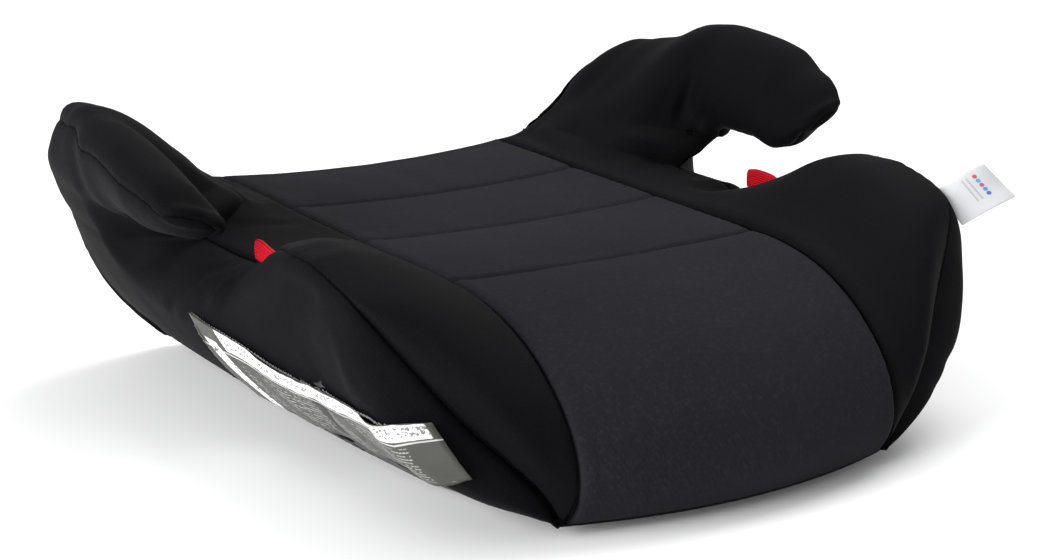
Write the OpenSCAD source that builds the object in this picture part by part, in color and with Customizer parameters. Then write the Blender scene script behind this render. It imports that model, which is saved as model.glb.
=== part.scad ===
// Backless booster seat: a moulded shell with two hooked armrests, padded with foam and
// dressed in a sewn jersey cover. Millimetres, +Z up, front towards -Y, floor at Z = 0.

/* [Seat] */
// Depth from the front face to the rear face
seat_depth = 400; // [380:2:410]
// Height of the padded seat above the floor
seat_h = 99; // [90:1:110]
// Half width of the quilted centre panel
panel_half = 94; // [86:1:100]
// Half width of the seat where it stands on the floor
base_half = 129; // [120:1:135]
// How deep the seat is dished at its rear edge
dish = 5; // [0:1:10]
// How far the front face lies ahead of the middle of the armrests
front_reach = 214; // [205:1:220]
// Radius of the front roll, front to back
roll_y = 119; // [110:1:125]
// Radius of the front roll, top to bottom
roll_z = 69; // [60:1:80]
// How much the front face is bowed in plan
front_bow = 0.0018; // [0.0010:0.0001:0.0022]

/* [Armrests] */
// Highest point of the armrests
arm_top = 173; // [165:1:183]
// Half thickness of the armrest hook
arm_half = 17; // [15:1:20]
// Where the middle of the hook lies, from the centre line
arm_x = 193; // [190:1:196]
// Inner end of the belt gap under the hook
gap_end_y = 84; // [76:1:94]
// Tip of the hook
tip_y = -8; // [-14:1:-4]

/* [Layers] */
// Thickness of the cover fabric with its backing
cover_t = 2; // [1:0.5:3]
// Thickness of the foam on the seat
seat_foam_t = 12; // [8:1:16]
// Thickness of the foam round the armrests
arm_foam_t = 8; // [6:1:10]
// Foam under the cover on the outer sides
side_foam_t = 3; // [2:1:5]
// Wall thickness of the moulded shell
wall = 3.5; // [3:0.5:4]
// Clearance left between neighbouring layers
slack = 0.3; // [0.2:0.1:0.5]

/* [Fittings] */
// Diameter of the anti-slip feet
foot_d = 26; // [20:1:30]
// Height of the shell rim above the floor
rim_h = 6; // [5:1:8]
// Shank diameter of the armrest screws
screw_d = 5; // [4:0.5:6]
// Thickness of the shell ribs
rib_t = 2.4; // [2:0.2:3]
// Width of the red belt tabs
tab_w = 24; // [18:1:30]

/* [Hidden] */

plastic = "dimgray";
foam = "gainsboro";
jersey = [0.10, 0.10, 0.11];
quilt = [0.16, 0.16, 0.18];

rear_y = seat_depth - front_reach;
roll_start_y = roll_y - front_reach;
roll_foot_z = seat_h - roll_z;

// Depths below the outer skin at which each layer starts
foam_d = cover_t + slack;
arm_core_d = foam_d + arm_foam_t + slack;
seat_shell_d = foam_d + seat_foam_t + slack;
side_shell_d = foam_d + side_foam_t + slack;

// Stations from the rear edge to the bottom of the front: places along the flat seat first,
// then angles round the front roll, then two heights down the front face
flat_y = [rear_y, 170, 151, 130, 110, gap_end_y + 10, gap_end_y, 66, 47, 29, 13, 0, tip_y,
  -30, -52, -75, roll_start_y];
roll_a = [15, 30, 45, 60, 75, 90];
low_z = [18, rim_h];
flat_n = len(flat_y);
roll_n = flat_n + len(roll_a);
row_n = roll_n + len(low_z);
gap_row = 6;
tip_row = 12;
top_q = [0, 0.06, 0.12, 0.18, 0.24, 0.36, 0.49, 0.62, 0.75, 0.88, 1];
in_low = 4;
in_top = 10;
out_low = 6;
out_n = 12;

function clamp01(v) = min(1, max(0, v));
function mix(a, b, t) = a + (b - a) * t;
function unit(v) = v / norm(v);

// Angle of the front roll at a station
function row_a(i) = i < flat_n ? 0 : i < roll_n ? roll_a[i - flat_n] : 90;

// Place of a station on the centre line, a depth d below the skin, as [y, z]
function deck(i, d) =
  i < flat_n ? [flat_y[i] - (i == 0 ? min(d, side_shell_d) : 0) + (i == gap_row || i == tip_row ? d : 0), seat_h - d]
  : i < roll_n ? [roll_start_y - (roll_y - d) * sin(row_a(i)), roll_foot_z + (roll_z - d) * cos(row_a(i))]
  : [roll_start_y - roll_y + d + 0.02 * pow(roll_foot_z - low_z[i - roll_n], 2), low_z[i - roll_n]];

// The front face is bowed; the bow fades out along the seat
function bow(x, y) = front_bow * x * x * pow(clamp01((-40 - y) / 150), 1.5);

// Seat surface across the panel
function seat_pt(x, i, d) =
  let (p = deck(i, d), hollow = i < flat_n ? dish * (0.4 + 0.6 * clamp01((p[0] + 95) / 280)) : 0)
  [x, p[0] + bow(x, p[0]), p[1] - hollow * max(0, 1 - pow(x / panel_half, 2)) * clamp01(1.2 - row_a(i) / 60)];

// Upper seam of the side wall: the floor of the belt gap, then the crest of the front bolster
seam_x = [[-95, 175], [-76, 175], [-58, 171], [-40, 166], [-16, 158], [20, 153], [78, 153], [200, 150]];
seam_z = [[-95, 127], [-76, 127], [-58, 124], [-40, 118], [-25, 111], [0, 100], [20, 96], [40, 95],
  [60, 95], [78, 95], [200, 95]];
// Half width of the side wall at its shoulder, just below the gap
shoulder_x = [[-95, 189], [-40, 192], [78, 192], [140, 190], [186, 184]];
// The same seam round the front corner, against the roll angle, ending with the two low stations
corner_seam = [[175, -110, 123], [174, -130, 115], [165, -146, 99], [151, -160, 78], [136, -170, 58],
  [120, -178, 41], [106, -183, 24], [97, -186, 7]];
corner_out = [[190, -118], [190, -135], [185, -150], [176, -162], [160, -172], [142, -180],
  [118, -187], [102, -189]];
corner_hem = [[115, -106], [112, -122], [109, -137], [106, -150], [103, -161], [100, -171],
  [97, -183], [96, -185]];
hem_x = [[-95, 117], [-83, 118], [-36, 123], [15, 126], [75, 128], [186, 129]];

function seam_pt(i, d) =
  i < flat_n ? let (y = deck(i, d)[0]) [lookup(y, seam_x) - d, y, lookup(y, seam_z) - d]
  : let (p = corner_seam[i - flat_n], k = sin(row_a(i))) [p[0] - d, p[1] + d * k, max(low_z[1], p[2] - d * (1 - k))];

// Low side surface from the centre panel seam (s = 0) to the upper seam (s = 1)
function low_in_pt(s, i, d) =
  let (b = seam_pt(i, d), a = seat_pt(min(panel_half, b[0] - 1.5), i, d), lift = (i < flat_n ? 2 + 7 * clamp01((10 - b[1]) / 70) : 9)
    * clamp01((row_n - 1 - i) / 3) * sin(180 * pow(s, 1.6)))
  [mix(a[0], b[0], s), mix(a[1], b[1], s) - lift * sin(row_a(i)), mix(a[2], b[2], s) + lift * cos(row_a(i))];

// Outer side surface from the upper seam (s = 0) to the hem (s = 1)
function hem_pt(i, d) =
  i < flat_n ? let (y = deck(i, d)[0]) [lookup(y, hem_x) + base_half - 129 - d, y, rim_h]
  : let (p = corner_hem[i - flat_n]) [p[0] - d, p[1] + d * 0.5, rim_h];
function low_out_pt(s, i, d) =
  let (a = seam_pt(i, d), b = hem_pt(i, d), t = 1 - s, lean = 1 - pow(1 - t, 2),
    wide = i < flat_n ? [lookup(a[1], shoulder_x) - d, a[1]] : corner_out[i - flat_n] + [-d, d * sin(row_a(i))],
    near = i < gap_row ? 0 : pow(1 - clamp01(s * 2.5), 2))
  [mix(mix(b[0], wide[0], lean), a[0], near), mix(mix(b[1], wide[1], lean), a[1], near), mix(b[2], a[2], t)];

// Armrest: ridge along its top, roof of the belt gap underneath
ridge_z = [[-8, 150], [-3, 156], [5, 161], [24, 166], [48, 170], [85, 173], [108, 171], [128, 166],
  [148, 160], [168, 151], [186, 138]];
ridge_x = [[-8, 204], [8, 205], [108, 204], [150, 197], [186, 184]];
roof_z = [[-8, 135], [0, 127], [13, 122], [27, 119], [57, 119], [72, 116], [84, 110]];
hook_half = [[-8, 0.5], [0, 0.75], [13, 0.92], [27, 1], [84, 1]];
function top_z(y, d) = lookup(y, ridge_z) + arm_top - 173 - d;
function ridge_pt(y, d) = [lookup(y, ridge_x) - d * 0.3, y, top_z(y, d)];

// Round the hook at angle a: 90 at the ridge, -90 at the roof of the gap, 180 on the inner face
function hook_pt(a, y, d) =
  let (hi = top_z(y, d), lo = lookup(y, roof_z) + d, w = arm_half * lookup(y, hook_half) - d,
    lean = lookup(y, ridge_x) - arm_x - d * 0.3)
  [arm_x + w * cos(a) + lean * sin(a), y, (hi + lo) / 2 + (hi - lo) / 2 * sin(a)];

// Inner face of the full-height wall behind the gap, q from the panel seam to the ridge
function tall_in_pt(q, i, d) =
  let (a = seat_pt(panel_half, i, d), b = ridge_pt(a[1], d))
  [mix(a[0], b[0], q), a[1], mix(a[2], b[2], pow(sin(90 * q), 2.1))];
// Outer face of that wall, from the ridge (j = 0) to the level of the gap roof (j = 5)
function tall_out_pt(j, i, d) =
  let (y = deck(i, d)[0], a = ridge_pt(y, d), b = [lookup(y, shoulder_x) + 8 - d, y, 118], s = j / 5)
  mix(a, b, s) + [8 * sin(162 * s), 0, 0];

// Grid points of the inner and outer side panels
function in_pt(i, j, d) =
  i < gap_row ? tall_in_pt(top_q[j], i, d)
  : j <= in_low ? low_in_pt(j / in_low, i, d)
  : hook_pt(270 - 180 * (j - in_low - 1) / (in_top - in_low - 1), deck(i, d)[0], d);
function out_pt(i, j, d) =
  j >= out_low ? low_out_pt((j - out_low) / (out_n - out_low), i, d)
  : i < gap_row ? tall_out_pt(j, i, d)
  : hook_pt(90 - 180 * j / (out_low - 1), deck(i, d)[0], d);
function in_cell(i, j) = i < gap_row || j < in_low || (j > in_low && i < tip_row);
function out_cell(i, j) = i < gap_row || j >= out_low || (j < out_low - 1 && i < tip_row);

// A closed skin between two grids of points: cell(i, j) says where there is material
function flat(g) = [for (r = g) for (p = r) p];
module skin(outer, inner, cells) {
  rows = len(outer);
  cols = len(outer[0]);
  n = rows * cols;
  function at(i, j) = i * cols + j;
  function has(i, j) = i >= 0 && j >= 0 && i < rows - 1 && j < cols - 1 && cells[i][j];
  faces = [for (i = [0 : rows - 2]) for (j = [0 : cols - 2]) if (cells[i][j])
    let (a = at(i, j), b = at(i, j + 1), c = at(i + 1, j + 1), e = at(i + 1, j))
    each concat([[a, b, c], [a, c, e], [a + n, c + n, b + n], [a + n, e + n, c + n]],
      has(i - 1, j) ? [] : [[a, a + n, b + n], [a, b + n, b]],
      has(i, j + 1) ? [] : [[b, b + n, c + n], [b, c + n, c]],
      has(i + 1, j) ? [] : [[c, c + n, e + n], [c, e + n, e]],
      has(i, j - 1) ? [] : [[e, e + n, a + n], [e, a + n, a]])];
  polyhedron(points = concat(flat(outer), flat(inner)), faces = faces, convexity = 8);
}

// A closed solid through a row of rings with flat ends
module loft(rings) {
  m = len(rings[0]);
  last = (len(rings) - 1) * m;
  polyhedron(points = flat(rings), convexity = 8, faces = concat(
    [for (i = [0 : len(rings) - 2]) for (j = [0 : m - 1])
      let (a = i * m + j, b = i * m + (j + 1) % m) each [[a, b, b + m], [a, b + m, a + m]]],
    [[for (j = [m - 1 : -1 : 0]) j], [for (j = [0 : m - 1]) last + j]]));
}

module grid_skin(rows, cols, d0, d1, cell) {
  skin([for (i = rows) [for (j = cols) cell == 0 ? in_pt(i, j, d0) : out_pt(i, j, d0)]],
    [for (i = rows) [for (j = cols) cell == 0 ? in_pt(i, j, d1) : out_pt(i, j, d1)]],
    [for (i = rows) [for (j = cols) cell == 0 ? in_cell(i, j) : out_cell(i, j)]]);
}

module inner_panel() color(jersey) grid_skin([0 : row_n - 1], [0 : in_top], 0, cover_t, 0);
module outer_panel() color(jersey) grid_skin([0 : row_n - 2], [0 : out_n], 0, cover_t, 1);

// Centre panel: quilted top running from the rear edge over the front roll to the hem
module quilted_panel() color(quilt)
  seat_layer(0, cover_t, panel_half, 0, row_n - 1);

module seat_layer(d0, d1, half, first, last, cols = 8) {
  function grid(d) = [for (i = [first : last]) [for (j = [0 : cols])
    seat_pt(half * (2 * j / cols - 1) * 0.9999, i, d)]];
  skin(grid(d0), grid(d1), [for (i = [first : last]) [for (j = [0 : cols]) true]]);
}

module seat_pad() color(foam)
  seat_layer(foam_d, foam_d + seat_foam_t, panel_half - slack, 0, row_n - 2);

// The shell is a convex shape built up from outlines at rising heights; e goes deeper
deck_top = seat_h - dish - seat_shell_d;
slab_z = [0, 0.34, 0.58, 0.78, 0.92, 1];
slab_cap = [[50, 176], [65, 173], [78, 163], [84, 154]];
function shell_front(z, e) = let (d = seat_shell_d + e, u = clamp01((z - roll_foot_z) / (deck_top - e + 1 - roll_foot_z)))
  roll_start_y - (roll_y - d) * sqrt(1 - u * u) + 2;
function slab_line(z, e) =
  let (lean = 1 - pow(1 - z / 95, 2), in = side_shell_d + e, cap = lookup(z, slab_cap) - e, right = concat(
    [for (y = flat_y) [min(cap, mix(lookup(y, hem_x), lookup(y, shoulder_x), lean) - in), min(y, rear_y - in)]],
    [for (k = [0 : 5]) let (p = corner_hem[k], q = corner_seam[k])
      [min(cap, mix(p[0], q[0], lean) - in), mix(p[1], q[1], lean) + in]],
    [for (x = [80, 40]) [x, -front_reach]]))
  [for (p = concat(right, [[0, -front_reach]], flip_x(right))) [p[0], max(p[1], shell_front(z, e) + front_bow * p[0] * p[0])]];
module shell_body(e, low)
  hull() for (u = slab_z) let (z = mix(rim_h, deck_top, u)) {
    translate([0, 0, mix(low, deck_top - e, u)]) linear_extrude(0.01) polygon(slab_line(z, e));
  }
function flip_x(row) = [for (k = [len(row) - 1 : -1 : 0]) [-row[k][0], each [for (q = [1 : len(row[k]) - 1]) row[k][q]]]];

foot_spots = [[-88, 150], [88, 150], [-74, -120], [74, -120]];
rib_x = [-92, 92];
rib_y = [76, -50];
rib_z = 8;
foot_h = 4;
stub_d = 8;
module moulded_shell() color(plastic)
  difference() {
    union() {
      difference() {
        shell_body(0, rim_h);
        shell_body(wall, rim_h - 1);
      }
      intersection() {
        union() {
          for (x = rib_x) translate([x - rib_t / 2, -200, rib_z]) cube([rib_t, 400, seat_h]);
          for (y = rib_y) translate([-200, y - rib_t / 2, rib_z]) cube([400, rib_t, seat_h]);
          for (p = foot_spots) translate([p[0], p[1], foot_h]) cylinder(d = foot_d, h = 20);
        }
        shell_body(wall / 2, foot_h);
      }
    }
    for (side = [-1, 1]) scale([side, 1, 1]) screw_spots() cylinder(d = screw_d + 2 * slack, h = 40);
    for (p = foot_spots) translate([p[0], p[1], foot_h - 1]) cylinder(d = stub_d + 2 * slack, h = 8);
  }

// Upright plate across the rear, cut to an outline in X and Z
module rear_plate(outline, inset, t)
  translate([0, rear_y - inset, 0]) rotate([90, 0, 0]) linear_extrude(t) polygon(outline);

function back_half(d) = concat([for (j = [0 : in_top]) in_pt(0, j, d)], [for (j = [1 : out_n]) out_pt(0, j, d)]);
module back_panel() {
  right = back_half(cover_t + 0.1);
  whole = concat(flip_x(right), [for (x = [-0.5, 0, 0.5]) seat_pt(x * panel_half, 0, cover_t + 0.1)], right);
  color(jersey) rear_plate([for (p = whole) [p[0], p[2]]], 0, cover_t);
}

// Anti-slip feet: rubber pads with a stub pressed into the shell
module feet() color("black")
  for (p = foot_spots) translate([p[0], p[1], 0]) {
    cylinder(d = foot_d, h = foot_h);
    translate([0, 0, foot_h]) cylinder(d = stub_d, h = 6.5);
  }

// Outline of the underside, and the same outline moved inwards
hem_right = concat([for (i = [0 : row_n - 2]) let (p = hem_pt(i, 0)) [p[0], p[1]]],
  [for (x = [0.8, 0.4]) let (p = seat_pt(x * panel_half, row_n - 1, 0)) [p[0], p[1]]]);
hem_loop = concat(hem_right, [let (p = seat_pt(0, row_n - 1, 0)) [0, p[1]]],
  [for (k = [len(hem_right) - 1 : -1 : 0]) [-hem_right[k][0], hem_right[k][1]]]);
function inset(loop, d) = [for (p = loop)
  let (core = [max(-70, min(70, p[0])), max(-120, min(150, p[1]))]) p - d * unit(p - core)];
hem_w = 22;
hem_z = rim_h - 1.8;
module hem_strip() color(jersey)
  translate([0, 0, hem_z]) linear_extrude(rim_h - hem_z - 0.1)
    difference() {
      polygon(hem_loop);
      polygon(inset(hem_loop, hem_w));
    }

elastic_r = 1.2;
module elastic_loop() {
  path = inset(hem_loop, hem_w - 4);
  side = inset(path, 1);
  n = len(path);
  m = 8;
  ring = [for (k = [0 : n - 1]) for (q = [0 : m - 1]) let (c = cos(360 * q / m), w = sin(360 * q / m))
    [each path[k] + elastic_r * c * (side[k] - path[k]), rim_h + elastic_r + 0.1 + elastic_r * w]];
  color("black") polyhedron(points = ring, convexity = 6, faces = [for (k = [0 : n - 1]) for (q = [0 : m - 1])
    let (a = k * m + q, b = k * m + (q + 1) % m, c = (k + 1) % n * m + (q + 1) % m, e = (k + 1) % n * m + q)
    each [[a, b, c], [a, c, e]]]);
}

// Plastic hooks sewn to the hem that catch the lower edge of the outer ribs
hook_y = [100, 10, -80];
module hooks() color(plastic)
  for (side = [-1, 1]) for (y = hook_y) translate([0, y, 0]) scale([side, 1, 1])
    rotate([90, 0, 0]) linear_extrude(14, center = true)
      polygon([[88, 5.8], [97, 5.8], [97, 7.2], [89.5, 7.2], [89.5, 14], [88, 14]]);

// Red tabs that mark the belt path: ribbon folded over and caught in the seam
tab_y = 2;
tab_top = 8.5;
tab_t = 1;
tab_tilt = 4;
module red_tab() {
  root = [lookup(tab_y, seam_x), tab_y + tab_w / 2 - 9, lookup(tab_y, seam_z) + 0.5];
  color("crimson") translate(root) rotate([tab_tilt, 0, 0]) rotate([90, 0, 0]) linear_extrude(tab_w) difference() {
    tab_outline(2.2, tab_top);
    tab_outline(2.2 - tab_t, tab_top - tab_t);
  }
}
module tab_outline(r, top) {
  translate([0, top - r]) circle(r, $fn = 24);
  translate([-r, 0]) square([2 * r, top - r]);
}

// Printed warning label on the left outer side
label_rows = [7 : 19];
label_z = [57, 45, 33, 21];
function label_pt(z, i, d) = low_out_pt(1 - (z - rim_h) / (seam_pt(i, 0)[2] - rim_h), i, d);
function label_grid(d) = [for (i = label_rows) [for (z = label_z) label_pt(z, i, d)]];
module side_label() color("darkslategray")
  skin(label_grid(-0.6), label_grid(-0.2), [for (i = label_rows) [for (z = label_z) true]]);

// Care label: a satin loop standing out of the right-hand seam
module satin_loop() {
  root_a = [177, -132, 123];
  root_b = [181, -144, 105];
  tip_a = [193, -139, 140];
  tip_b = [211, -147, 121];
  side = unit(cross(root_b - root_a, tip_a - root_a));
  function grid(w) = [for (u = [0, 0.5, 1]) [for (v = [0, 0.5, 1])
    mix(mix(root_a, root_b, v), mix(tip_a, tip_b, v), u) + side * w * (1 + 1.6 * sin(180 * u))]];
  color("white") skin(grid(-0.5), grid(0.5), [for (u = [0 : 2]) [for (v = [0 : 2]) true]]);
}

// Foam that fills the front bolster between the cover and the shell
bolster_rows = [gap_row + 1 : row_n - 3];
function bolster_top(i) = [for (j = [0 : in_low]) low_in_pt(0.03 + 0.97 * j / in_low, i, foam_d)];
function bolster_base(i) = [for (p = bolster_top(i)) let (q = seat_pt(p[0], i, seat_shell_d - slack)) [p[0], q[1], q[2]]];
module bolster_pad() color(foam)
  skin([for (i = bolster_rows) bolster_top(i)], [for (i = bolster_rows) bolster_base(i)],
    [for (i = bolster_rows) [for (j = [0 : in_low]) true]]);

// Foam sleeve wrapped round the armrest, its edges meeting under the hook
arm_rows = [0 : tip_row];
function arm_sleeve(i, d) = let (part_line = i < gap_row ? 0 : 0.4)
  [for (k = [0 : in_top - in_low - 1 + out_low - 1])
    let (p = k <= in_top - in_low - 1 ? in_pt(i, in_low + 1 + k, d) : out_pt(i, k - (in_top - in_low - 1), d))
    k == 0 ? p - [part_line, 0, 0] : k == in_top - in_low + out_low - 2 ? p + [part_line, 0, 0] : p];
module hook_sleeve() color(foam)
  skin([for (i = arm_rows) arm_sleeve(i, foam_d)], [for (i = arm_rows) arm_sleeve(i, foam_d + arm_foam_t)],
    [for (i = arm_rows) [for (k = [0 : in_top]) true]]);

// Moulded core of the armrest, standing on the shell wall and hooked over the belt gap
function arm_ring(i) = let (d = arm_core_d, ring = [for (k = [0 : 9]) arm_sleeve(i, d)[k]])
  i < gap_row ? let (low = seat_h - seat_shell_d + slack, p = in_pt(i, in_low, d), q = out_pt(i, out_low - 1, d))
    concat([[p[0] + 12, p[1], low]], [for (k = [1 : 9]) ring[k]], [[min(q[0], 150), q[1], low]])
  : concat(ring, [(arm_sleeve(i, d)[9] + arm_sleeve(i, d)[0]) / 2 - [0, 0, 1]]);
module hook_core() color(plastic)
  difference() {
    loft([for (i = arm_rows) arm_ring(i)]);
    screw_spots() cylinder(d = screw_d + 2 * slack, h = 40 + slack);
  }

screw_y = [104, 132, 160];
screw_x = 138;
screw_z = 66;
module screw_spots() for (y = screw_y) translate([screw_x, y, screw_z]) children();
module hook_screws() color("silver")
  screw_spots() {
    cylinder(d = screw_d, h = 40);
    translate([0, 0, -3]) cylinder(d1 = screw_d * 2, d2 = screw_d * 1.6, h = 3);
  }

// Every piece in its place: the origin is on the floor, in the middle of the depth
module placed() translate([0, seat_depth / 2 - rear_y, 0]) children();
module placed_left() placed() mirror([1, 0, 0]) children();
module seat_shell() placed() moulded_shell();
module armrest_core_left() placed_left() hook_core();
module armrest_core_right() placed() hook_core();
module armrest_screws_left() placed_left() hook_screws();
module armrest_screws_right() placed() hook_screws();
module anti_slip_feet() placed() feet();
module seat_foam() placed() seat_pad();
module bolster_foam_left() placed_left() bolster_pad();
module bolster_foam_right() placed() bolster_pad();
module armrest_foam_left() placed_left() hook_sleeve();
module armrest_foam_right() placed() hook_sleeve();
module cover_seat_panel() placed() quilted_panel();
module cover_inner_left() placed_left() inner_panel();
module cover_inner_right() placed() inner_panel();
module cover_outer_left() placed_left() outer_panel();
module cover_outer_right() placed() outer_panel();
module cover_back_panel() placed() back_panel();
module cover_hem() placed() hem_strip();
module hem_elastic() placed() elastic_loop();
module hem_hooks() placed() hooks();
module belt_tab_left() placed_left() red_tab();
module belt_tab_right() placed() red_tab();
module warning_label() placed_left() side_label();
module care_label() placed() satin_loop();

seat_shell();
armrest_core_left();
armrest_core_right();
armrest_screws_left();
armrest_screws_right();
anti_slip_feet();
seat_foam();
bolster_foam_left();
bolster_foam_right();
armrest_foam_left();
armrest_foam_right();
cover_seat_panel();
cover_inner_left();
cover_inner_right();
cover_outer_left();
cover_outer_right();
cover_back_panel();
cover_hem();
hem_elastic();
hem_hooks();
belt_tab_left();
belt_tab_right();
warning_label();
care_label();
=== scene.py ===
import math

import bpy
import numpy as np
from mathutils import Matrix, Vector
from mathutils.bvhtree import BVHTree
from mathutils.kdtree import KDTree


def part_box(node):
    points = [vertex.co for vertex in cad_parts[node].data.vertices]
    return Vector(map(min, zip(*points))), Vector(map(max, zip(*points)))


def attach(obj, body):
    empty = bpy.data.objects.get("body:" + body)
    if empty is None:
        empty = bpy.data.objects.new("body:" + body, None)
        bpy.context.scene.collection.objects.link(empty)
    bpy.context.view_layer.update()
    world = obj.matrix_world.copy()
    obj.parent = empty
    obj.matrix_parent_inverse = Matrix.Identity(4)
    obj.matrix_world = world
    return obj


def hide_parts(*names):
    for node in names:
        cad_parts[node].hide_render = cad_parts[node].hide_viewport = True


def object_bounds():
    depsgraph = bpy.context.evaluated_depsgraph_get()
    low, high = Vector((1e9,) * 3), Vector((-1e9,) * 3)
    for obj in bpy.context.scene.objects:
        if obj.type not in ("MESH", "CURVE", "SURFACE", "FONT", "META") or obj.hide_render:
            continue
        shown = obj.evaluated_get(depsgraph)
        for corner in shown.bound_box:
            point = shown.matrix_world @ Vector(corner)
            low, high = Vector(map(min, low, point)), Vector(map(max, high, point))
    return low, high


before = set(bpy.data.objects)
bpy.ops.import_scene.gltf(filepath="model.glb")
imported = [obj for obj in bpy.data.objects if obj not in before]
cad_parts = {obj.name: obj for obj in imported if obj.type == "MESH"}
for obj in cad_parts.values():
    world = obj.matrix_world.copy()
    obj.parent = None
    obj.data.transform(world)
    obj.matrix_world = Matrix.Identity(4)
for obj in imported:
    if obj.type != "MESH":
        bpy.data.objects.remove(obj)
cad_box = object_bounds()
scene = bpy.context.scene
MM = 0.001

# ------------------------------------------------------------------ the shape, as in part.scad
# Millimetres, y = 0 at the middle of the armrests; `shift` brings it to the row frame.
REAR_Y, GAP_END, TIP_Y, RIM_H = 186.0, 84.0, -8.0, 6.0
SEAT_H, PANEL, DISH = 99.0, 94.0, 5.0
FRONT, ROLL_Y, ROLL_Z, BOW = -214.0, 119.0, 69.0, 0.0018
ROLL_START = FRONT + ROLL_Y
ARM_X, ARM_HALF = 193.0, 17.0
CHANNELS = (96.0, 11.0, -78.0)
shift = np.array([0.0, float(cad_box[1][1]) / MM - REAR_Y, 0.0])

SEAM_X = [(-95, 175), (-76, 175), (-58, 171), (-40, 166), (-16, 158), (20, 153), (84, 153), (200, 150)]
SEAM_Z = [(-95, 127), (-76, 127), (-58, 124), (-40, 118), (-25, 111), (0, 100), (20, 96), (40, 95), (200, 95)]
SHOULDER = [(-95, 189), (-40, 192), (84, 192), (140, 190), (186, 184)]
HEM_X = [(-95, 117), (-83, 118), (-36, 123), (15, 126), (75, 128), (186, 129)]
RIDGE_Z = [(-8, 150), (-3, 156), (5, 161), (24, 166), (48, 170), (85, 173), (108, 171), (128, 166),
           (148, 160), (168, 151), (186, 138)]
RIDGE_X = [(-8, 204), (8, 205), (108, 204), (150, 197), (186, 184)]
ROOF_Z = [(-8, 135), (0, 127), (13, 122), (27, 119), (57, 119), (72, 116), (84, 110)]
HOOK_HALF = [(-8, 0.5), (0, 0.75), (13, 0.92), (27, 1), (84, 1)]
# Round the front corner, against the angle turned down the front roll (over 90: the low front face)
CORNER_SEAM = [(0, 175, -95, 127), (15, 175, -110, 123), (30, 174, -130, 115), (45, 165, -146, 99),
               (60, 151, -160, 78), (75, 136, -170, 58), (90, 120, -178, 41), (105, 106, -183, 24),
               (120, 97, -186, 6)]
CORNER_OUT = [(0, 189, -95), (15, 190, -118), (30, 190, -135), (45, 185, -150), (60, 176, -162),
              (75, 160, -172), (90, 142, -180), (105, 118, -187), (120, 98, -188)]
CORNER_HEM = [(0, 117, -95), (15, 115, -106), (30, 112, -122), (45, 109, -137), (60, 106, -150),
              (75, 103, -161), (90, 100, -171), (105, 97, -183), (120, 96, -186)]
# Where the sewn seam runs: degrees round the hook from its outer face, and down the tall outer face
SEAM_ANGLE, SEAM_DROP = 38.0, 0.16


def clamp(v):
    return np.clip(v, 0.0, 1.0)


def smooth(v):
    v = clamp(v)
    return v * v * (3 - 2 * v)


def lerp(a, b, t):
    return a + (b - a) * t


def curve(table, x):
    """Smooth curve through a table's points without overshoot; held level beyond its ends."""
    p = np.array(table, float)
    xs, ys = p[:, 0], p[:, 1:]
    h = np.diff(xs)[:, None]
    d = np.diff(ys, axis=0) / h
    m = np.vstack([d[:1], np.zeros_like(ys[1:-1]), d[-1:]])
    same = d[:-1] * d[1:] > 0
    m[1:-1][same] = 2 * (d[:-1] * d[1:])[same] / (d[:-1] + d[1:])[same]
    x = np.clip(np.asarray(x, float), xs[0], xs[-1])
    k = np.clip(np.searchsorted(xs, x, side="right") - 1, 0, len(xs) - 2)
    t = ((x - xs[k]) / h[k, 0])[..., None]
    out = ((1 + 2 * t) * (1 - t) ** 2 * ys[k] + t * (1 - t) ** 2 * h[k] * m[k]
           + t * t * (3 - 2 * t) * ys[k + 1] + t * t * (t - 1) * h[k] * m[k + 1])
    return out[..., 0] if ys.shape[1] == 1 else out


def stack(x, y, z):
    return np.stack(np.broadcast_arrays(x, y, z), -1)


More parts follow.
